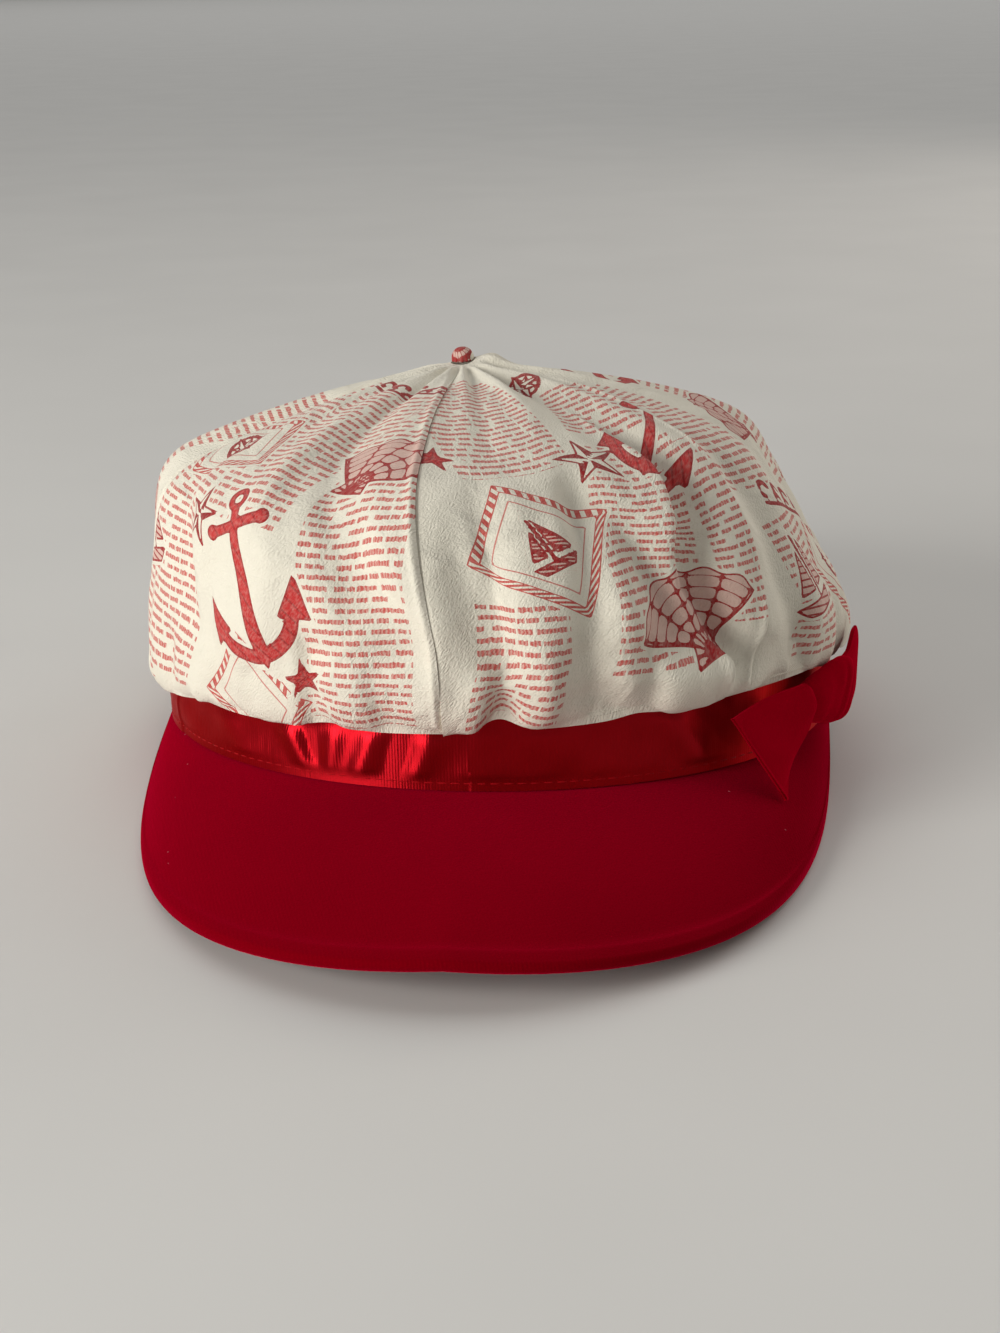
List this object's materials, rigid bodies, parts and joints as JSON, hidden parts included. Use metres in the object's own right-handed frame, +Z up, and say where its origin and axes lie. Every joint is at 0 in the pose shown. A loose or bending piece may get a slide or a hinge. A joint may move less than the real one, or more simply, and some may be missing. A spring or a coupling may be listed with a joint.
{
  "type": "cotton newsboy cap",
  "caption": "Child's newsboy cap in red-on-cream printed cotton, with a soft panelled crown, red satin ribbon, stiff crimson peak and a side bow",
  "frame": {"origin": "the middle of the underside of the whole cap's bounding box, on the surface that it rests on", "axes": "+Z up; the peak points along -Y and the bow sits on the +X side; the longest size, from the peak's rim to the back of the crown, lies along Y"},
  "size_m": [0.1766, 0.2516, 0.0948],
  "materials": {
    "printed_cotton": "matte cotton twill, cream with a red print",
    "cream_cotton": "matte plain cotton twill",
    "red_satin": "glossy satin ribbon",
    "crimson_cotton": "matte cotton sateen over a stiff board",
    "crimson_ribbon": "matte woven ribbon"
  },
  "bodies": {
    "root": {"crown_panel_1": "printed_cotton", "crown_panel_2": "printed_cotton", "crown_panel_3": "printed_cotton", "crown_panel_4": "printed_cotton", "crown_panel_5": "printed_cotton", "crown_panel_6": "printed_cotton", "crown_button": "printed_cotton", "headband": "cream_cotton", "ribbon": "red_satin", "peak": "crimson_cotton", "bow_front_loop": "crimson_ribbon", "bow_back_loop": "crimson_ribbon", "bow_knot": "crimson_ribbon"}
  },
  "joints": []
}
